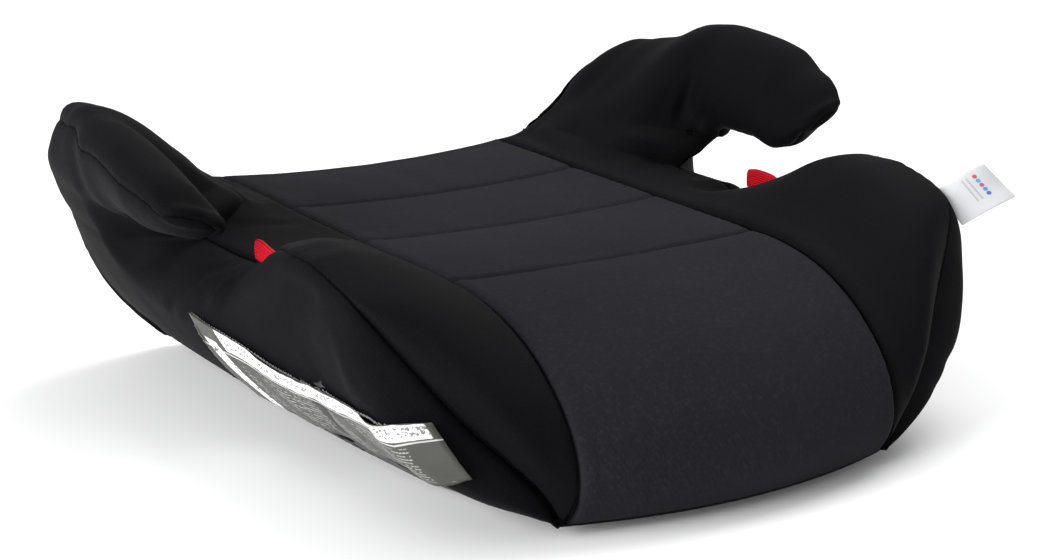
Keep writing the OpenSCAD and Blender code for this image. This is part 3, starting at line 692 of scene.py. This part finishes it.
def satin_material():
    """White satin ribbon with a made-up mark: a row of small coloured dots over grey dashes."""
    n = Nodes("white_satin")
    u, v = n.value("run"), n.value("across")
    weave = n.math("SINE", n.math("MULTIPLY", n.math("ADD", u, n.math("MULTIPLY", v, 0.3)), 11.0))
    # Painted shade and highlight: paler on the raised weave and darker between its threads, following the weave's bump.
    tone = n.mix(n.ramp(weave, -1, 1), rgb(0.50, 0.50, 0.51), rgb(0.60, 0.60, 0.61))
    tint = n.add("ShaderNodeTexWhiteNoise", noise_dimensions="1D")
    slot = n.math("FLOOR", n.math("DIVIDE", v, 2.8))
    n.put(tint.inputs["W"], n.math("ADD", slot, 3.0))
    hue = n.add("ShaderNodeCombineColor", mode="HSV")
    for s, val in zip(hue.inputs, (tint.outputs["Value"], 0.85, 0.45)):
        n.put(s, val)
    du = n.math("SUBTRACT", u, 21.5)
    dv = n.math("SUBTRACT", n.math("MULTIPLY", n.math("FRACT", n.math("DIVIDE", v, 2.8)), 2.8), 1.4)
    dist = n.math("SQRT", n.math("ADD", n.math("MULTIPLY", du, du), n.math("MULTIPLY", dv, dv)))
    inside = n.math("MULTIPLY", n.ramp(v, 2.9, 3.1), n.ramp(v, 17.1, 16.9))
    tone = n.mix(n.math("MULTIPLY", n.ramp(dist, 1.35, 1.15), inside), tone, hue.outputs[0])
    dash = n.math("MULTIPLY", n.ramp(n.math("FRACT", n.math("DIVIDE", v, 1.1)), 0.25, 0.35),
                  n.ramp(n.math("ABSOLUTE", n.math("SUBTRACT", n.math("FRACT", n.math("DIVIDE", u, 2.6)), 0.5)), 0.22, 0.16))
    rows = n.math("MULTIPLY", n.math("MULTIPLY", n.ramp(u, 12.9, 13.0), n.ramp(u, 18.3, 18.2)), inside)
    tone = n.mix(n.math("MULTIPLY", n.math("MULTIPLY", dash, rows), 0.6), tone, rgb(0.16, 0.16, 0.17))
    return n.finish(tone, 0.42, n.bump(weave, 0.15, 0.0002), Sheen_Weight=0.3, Subsurface_Weight=0.08)


def thread_material():
    n = Nodes("grey_thread")
    twist = n.noise(2500, 2)
    return n.finish(n.mix(twist, rgb(0.05, 0.05, 0.05), rgb(0.13, 0.13, 0.13)), 0.7, n.bump(twist, 0.4, 0.0002), Sheen_Weight=0.3)


plastic = plastic_material("shell_plastic", (0.010, 0.010, 0.011), 0.5)
rubber, steel, film, satin, thread = rubber_material(), steel_material(), film_material(), satin_material(), thread_material()
# For the ribbon and the elastic, the first colour is the painted shade in the rib troughs and the second is the colour
# on the ribs.
ribbon = ribbon_material("red_ribbon", (0.22, 0.0004, 0.004), (0.52, 0.0012, 0.013), 1.3, 0.05)
elastic = ribbon_material("elastic", (0.010, 0.010, 0.010), (0.03, 0.03, 0.03), 1.6, 0.2)


# ------------------------------------------------------------------ pieces
def give(obj, mat, slot, *nodes):
    obj.data.materials.clear()
    obj.data.materials.append(mat)
    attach(obj, "root")
    if nodes:
        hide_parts(*nodes)
    return obj


def attribute(obj, name, values):
    obj.data.attributes.new(name, "FLOAT", "POINT").data.foreach_set("value", np.asarray(values, np.float32))


def baked(obj):
    """Applies a piece's modifiers."""
    done = bpy.data.meshes.new_from_object(obj.evaluated_get(bpy.context.evaluated_depsgraph_get()))
    obj.modifiers.clear()
    obj.data = done
    return obj


def panel_piece(index, name, mat, slot, nodes):
    faces = cover.faces[cover.panel == index]
    used, local = np.unique(faces, return_inverse=True)
    quads = [list(dict.fromkeys(f)) for f in local.reshape(-1, 4).tolist()]
    obj = mesh_object(name, cover.co[used], [q for q in quads if len(q) > 2])
    attribute(obj, "seam", np.minimum(seam_d, channel_d)[used])
    thick = obj.modifiers.new("Cloth thickness", "SOLIDIFY")
    thick.thickness, thick.offset, thick.use_rim = 1.8 * MM, -1, True
    baked(obj)
    give(obj, mat, slot, *nodes)
    return obj


parts = {}
parts["seat"] = panel_piece(0, "seat_cover", knit, "quilted_knit", ["cover_seat_panel", "seat_foam"])
for k, side in ((1, "right"), (3, "left")):
    parts["inner_" + side] = panel_piece(k, "side_inner_" + side, jersey, "black_jersey",
        ["cover_inner_" + side, "bolster_foam_" + side, "armrest_foam_" + side])
    parts["outer_" + side] = panel_piece(k + 1, "side_outer_" + side, jersey, "black_jersey", ["cover_outer_" + side, "armrest_core_" + side])
parts["back"] = panel_piece(5, "back_cover", jersey, "black_jersey", ["cover_back_panel"])


def ordered_rim():
    """The lower edge of the cover as one closed loop of points."""
    links = {}
    for a, b in cover.rim_edges.tolist():
        links.setdefault(a, []).append(b)
        links.setdefault(b, []).append(a)
    start = max(links, key=lambda k: cover.co[k][1] * 1000 + cover.co[k][0])
    loop, last = [start], None
    while True:
        nexts = [k for k in links[loop[-1]] if k != last and k != loop[-1]]
        last = loop[-1]
        if not nexts or nexts[0] == start or len(loop) > len(links):
            return cover.co[loop]
        loop.append(nexts[0])


def hem_band():
    """The cover's hem, turned under the shell and gathered over its elastic."""
    loop = ordered_rim()
    loop = loop[np.r_[True, np.linalg.norm(np.diff(loop, axis=0), axis=1) > 0.3]]
    core = np.stack([np.clip(loop[:, 0], -70, 70), np.clip(loop[:, 1], -120, 150), loop[:, 2]], -1)
    inward = core - loop
    inward /= np.linalg.norm(inward, axis=1)[:, None]
    run = np.concatenate([[0], np.cumsum(np.linalg.norm(np.diff(loop, axis=0), axis=1))])
    section = [(0.4, 0.3), (0.5, -0.6), (1.3, -1.4), (3.2, -1.8), (7, -1.75), (11, -1.6), (15, -1.5), (18.5, -1.4),
               (20.6, -1.1), (21.6, -0.4), (20.8, 0.2), (18.5, 0.4), (14.5, 0.3)]
    rings = []
    for inn, up in section:
        gather = 0.55 * clamp(inn / 16) * np.sin(run * 2 * np.pi / 8 + 1.5 * ripple(loop, 50, 9))
        q = loop + inward * inn
        q[:, 2] += up + gather * (1 if up < 0 else 0.4)
        rings.append(q)
    grid = np.stack(rings, 1)
    n, m = grid.shape[:2]
    faces = [[i * m + j, ((i + 1) % n) * m + j, ((i + 1) % n) * m + j + 1, i * m + j + 1] for i in range(n) for j in range(m - 1)]
    obj = mesh_object("hem_band", grid.reshape(-1, 3), faces)
    attribute(obj, "seam", np.tile([9, 9, 9, 9, 9, 9, 1.5, 9, 9, 9, 9, 9, 9.0], n))
    thick = obj.modifiers.new("Cloth thickness", "SOLIDIFY")
    thick.thickness, thick.offset = 0.5 * MM, 0
    baked(obj)
    give(obj, jersey, "black_jersey", "cover_hem")
    return obj


hem = hem_band()


def strip(name, points, width_dir, width, thick, mat, slot, node, rib_run=None, flare=0.0):
    """A flat ribbon swept along points (millimetres), as wide as `width` along width_dir."""
    path = np.array(points, float)
    run = np.concatenate([[0], np.cumsum(np.linalg.norm(np.diff(path, axis=0), axis=1))])
    w = np.array(width_dir, float)
    w /= np.linalg.norm(w)
    cols = np.linspace(-0.5, 0.5, 13)
    grid = path[:, None] + w * (cols[None, :, None] * width)
    return run, grid


def ribbon_piece(name, grid, thick, mat, slot, node):
    n, m = grid.shape[:2]
    faces = [[i * m + j, (i + 1) * m + j, (i + 1) * m + j + 1, i * m + j + 1] for i in range(n - 1) for j in range(m - 1)]
    obj = mesh_object(name, grid.reshape(-1, 3), faces)
    along = np.concatenate([[0], np.cumsum(np.linalg.norm(np.diff(grid[:, m // 2], axis=0), axis=1))])
    across = np.concatenate([[0], np.cumsum(np.linalg.norm(np.diff(grid[0], axis=0), axis=1))])
    attribute(obj, "run", np.repeat(along, m))
    attribute(obj, "across", np.tile(across, n))
    s = obj.modifiers.new("Ribbon thickness", "SOLIDIFY")
    s.thickness, s.offset = thick * MM, 0
    round_edge = obj.modifiers.new("Smooth", "SUBSURF")
    round_edge.levels = round_edge.render_levels = 1
    baked(obj)
    give(obj, mat, slot, node)
    return obj


def belt_tab(side):
    """Red ribbon folded over and sewn into the seam at the belt gap."""
    low, high = (np.array(v, float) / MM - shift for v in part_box("belt_tab_" + side))
    mid = (low + high) / 2
    width = high[1] - low[1] + 2.0
    half = (high[0] - low[0]) / 2 - 0.4
    top = high[2] - low[2] + 1.5
    tilt = 4.5 if side == "left" else 0.0
    profile = []
    for t in np.linspace(0, 1, 27):
        a = np.pi * t
        bulge = np.sin(a) ** 0.75
        profile.append((-half * np.cos(a) * (0.55 + 0.45 * np.sin(a)) * 1.05, top * bulge))
    profile = np.array(profile)
    v = np.linspace(0, 1, 21)
    grid = np.zeros((len(profile), len(v), 3))
    for j, t in enumerate(v):
        sag = 0.35 * np.sin(3 * np.pi * t)
        grid[:, j, 0] = mid[0] + profile[:, 0] * (1 + 0.12 * np.sin(2.2 * np.pi * t)) + sag * profile[:, 1] / top
        grid[:, j, 1] = low[1] + 0.5 + width * t
        grid[:, j, 2] = low[2] + 0.2 + profile[:, 1] * (1 - 0.16 * (2 * t - 1) ** 2) + tilt * (t - 0.4) - 2.0
    return ribbon_piece("tab_ribbon_" + side, grid, 0.7, ribbon, "red_ribbon", "belt_tab_" + side)


tabs = [belt_tab("left"), belt_tab("right")]


def care_ribbon():
    """Care label: a satin ribbon folded in half, its two ends sewn into the right-hand seam."""
    root_a, root_b = np.array([182, -122, 118.0]), np.array([187, -138, 101.0])
    tip_a, tip_b = np.array([202, -136, 132.5]), np.array([216, -147, 115.0])
    side = np.cross(root_b - root_a, tip_a - root_a)
    side /= np.linalg.norm(side)
    v = np.linspace(0, 1, 17)
    half = np.linspace(0, 1, 15)
    rings = []
    for back, us in ((1, half), (-1, half[::-1])):
        for u in us:
            base = lerp(lerp(root_a, root_b, v[:, None]), lerp(tip_a, tip_b, v[:, None]), u)
            curl = 2.6 * np.sin(np.pi * u) + 1.8 * np.sin(2 * np.pi * v + 1.2) * u * (1.0 - 0.4 * u)
            gap = 1.1 * np.sqrt(max(0.0, 1 - u ** 6)) * (0.25 + 0.75 * u) + 0.05
            rings.append(base + side * (curl + back * gap)[:, None])
    grid = np.array(rings)
    return ribbon_piece("care_ribbon", grid, 0.25, satin, "white_satin", "care_label")


care = care_ribbon()

# Printed film laid on the left outer side, and the zigzag stitching round its edge
body_tree = BVHTree.FromPolygons((cover.co * 1.0).tolist(), [f for f in cover.polygons() if len(f) > 2])


def on_cover(p, aim, lift):
    """The point of the cover met from p in the direction aim, and raised by lift along its normal."""
    hit, normal, _, _ = body_tree.ray_cast(Vector(p), Vector(aim))
    if hit is None:
        hit, normal, _, _ = body_tree.find_nearest(Vector(p))
    if normal.dot(Vector(aim)) > 0:
        normal = -normal
    return np.array(hit + normal * lift)


FILM_TOP = [(0, -182, 25, 71), (0.2, -181, -13, 69), (0.45, -174, -60, 62), (0.7, -172, -110, 63),
            (0.88, -168, -148, 66), (1, -154, -166, 63)]
FILM_FOOT = [(0, -158, 4, 29), (0.5, -151, -88, 26), (0.8, -147, -140, 34), (1, -139, -177, 38)]


def film_point(u, v, lift):
    """u along the film from rear to front, v from its lower to its upper edge."""
    p = lerp(curve(FILM_FOOT, u), curve(FILM_TOP, u), v)
    aim = np.array([0.93, 0.22, 0.29 - 0.1 * v])
    return on_cover(p - 60 * aim, aim, lift)


def film_piece():
    us, vs = np.linspace(0, 1, 90), np.linspace(0, 1, 17)
    grid = np.array([[film_point(u, v, 2.1) for v in vs] for u in us])
    for _ in range(40):
        grid[1:-1] += 0.5 * ((grid[2:] + grid[:-2]) / 2 - grid[1:-1])
        grid[:, 1:-1] += 0.5 * ((grid[:, 2:] + grid[:, :-2]) / 2 - grid[:, 1:-1])
    need, out = np.zeros(grid.shape[:2]), np.zeros_like(grid)
    for i, j in np.ndindex(need.shape):
        under, normal, _, _ = body_tree.find_nearest(Vector(grid[i, j]))
        need[i, j], out[i, j] = max(0.0, 1.3 - (Vector(grid[i, j]) - under).dot(normal)), normal
    for spread in [np.max] * 5 + [np.mean] * 8:
        pad = np.pad(need, 1, mode="edge")
        need = spread([pad[1:-1, 1:-1], pad[:-2, 1:-1], pad[2:, 1:-1], pad[1:-1, :-2], pad[1:-1, 2:]], axis=0)
    grid += out * need[..., None]
    n, m = grid.shape[:2]
    faces = [[i * m + j, (i + 1) * m + j, (i + 1) * m + j + 1, i * m + j + 1] for i in range(n - 1) for j in range(m - 1)]
    obj = mesh_object("label_film", grid.reshape(-1, 3), faces)
    length = np.linalg.norm(np.diff(grid[:, m // 2], axis=0), axis=1).sum()
    tall = np.linalg.norm(np.diff(grid[n // 2], axis=0), axis=1).sum()
    attribute(obj, "run", np.repeat(us * 205, m))
    attribute(obj, "across", np.tile(vs * 38, n))
    s = obj.modifiers.new("Film thickness", "SOLIDIFY")
    s.thickness, s.offset = 0.4 * MM, 0
    baked(obj)
    give(obj, film, "printed_film", "warning_label")
    return obj


def tube(points, radius, sides=5):
    """Vertices and faces of a thin thread along points, in millimetres."""
    p = np.array(points, float)
    tangent = np.gradient(p, axis=0)
    tangent /= np.linalg.norm(tangent, axis=1)[:, None] + 1e-9
    other = np.cross(tangent, [0.3, 0.2, 0.9])
    other /= np.linalg.norm(other, axis=1)[:, None] + 1e-9
    third = np.cross(tangent, other)
    a = np.arange(sides) * 2 * np.pi / sides
    ring = p[:, None] + radius * (np.cos(a)[None, :, None] * other[:, None] + np.sin(a)[None, :, None] * third[:, None])
    faces = [[i * sides + j, i * sides + (j + 1) % sides, (i + 1) * sides + (j + 1) % sides, (i + 1) * sides + j]
             for i in range(len(p) - 1) for j in range(sides)]
    return ring.reshape(-1, 3), faces


def label_stitches():
    edge = []
    for k in range(150):
        edge.append((k / 149, 1 - 0.045 * (k % 2)))
    for k in range(26):
        edge.append((1 - 0.008 * (k % 2), 1 - k / 25))
    for k in range(140):
        edge.append((1 - k / 139, 0.0 + 0.045 * (k % 2)))
    for k in range(26):
        edge.append((0.008 * (k % 2), k / 25))
    points, faces = tube([film_point(u, v, 1.85) for u, v in edge], 0.3)
    obj = mesh_object("label_stitches", points, faces)
    return give(obj, thread, "black_jersey")


label, label_thread = film_piece(), label_stitches()

for name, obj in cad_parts.items():
    if obj.hide_render:
        continue
    mat = (rubber if "feet" in name else steel if "screws" in name else elastic if "elastic" in name else plastic)
    obj.data.materials.clear()
    obj.data.materials.append(mat)

# ------------------------------------------------------------------ floor, light and camera
floor_mesh = bpy.data.meshes.new("floor")
floor_mesh.from_pydata([(-9, -9, 0), (9, -9, 0), (9, 9, 0), (-9, 9, 0)], [], [(0, 1, 2, 3)])
floor = bpy.data.objects.new("floor", floor_mesh)
scene.collection.objects.link(floor)
pale = Nodes("pale_floor")
floor_mesh.materials.append(pale.finish(rgb(0.93, 0.93, 0.935), 0.9, Specular_IOR_Level=0.1,
                                        Emission_Color=rgb(1, 1, 1), Emission_Strength=0.02))

world = bpy.data.worlds.new("studio")
scene.world = world
world.use_nodes = True
sky = world.node_tree.nodes["Background"]
sky.inputs[0].default_value = rgb(1.0, 1.0, 1.0)
sky.inputs[1].default_value = 0.62


def softbox(name, place, aim, size, watts, color=(1, 1, 1)):
    light = bpy.data.lights.new(name, "AREA")
    light.shape, light.size, light.size_y = "RECTANGLE", size[0], size[1]
    light.energy, light.color = watts, color
    obj = bpy.data.objects.new(name, light)
    scene.collection.objects.link(obj)
    obj.location = place
    obj.rotation_euler = (Vector(aim) - Vector(place)).to_track_quat("-Z", "Y").to_euler()
    return obj


softbox("top_box", (0.9, 0.25, 1.8), (0, 0, 0.1), (1.5, 1.5), 28)
softbox("left_box", (-1.9, -0.3, 0.6), (0, 0, 0.08), (1.2, 1.2), 62)

lens = bpy.data.cameras.new("camera")
lens.sensor_width, lens.lens = 36.0, 2300 / 1064 * 36.0
lens.clip_start, lens.clip_end = 0.05, 60
camera = bpy.data.objects.new("camera", lens)
scene.collection.objects.link(camera)
turn, tilt = math.radians(-32), math.radians(16.015)
back = Vector((math.sin(turn) * math.cos(tilt), -math.cos(turn) * math.cos(tilt), math.sin(tilt)))
right = Vector((math.cos(turn), math.sin(turn), 0))
up = back.cross(right)
axes = Matrix((right, up, back)).transposed().to_4x4()
axes.translation = Vector((-0.6329, -1.0052, 0.4103))
camera.matrix_world = axes
scene.camera = camera
scene.view_settings.view_transform = "Standard"

bpy.context.view_layer.update()
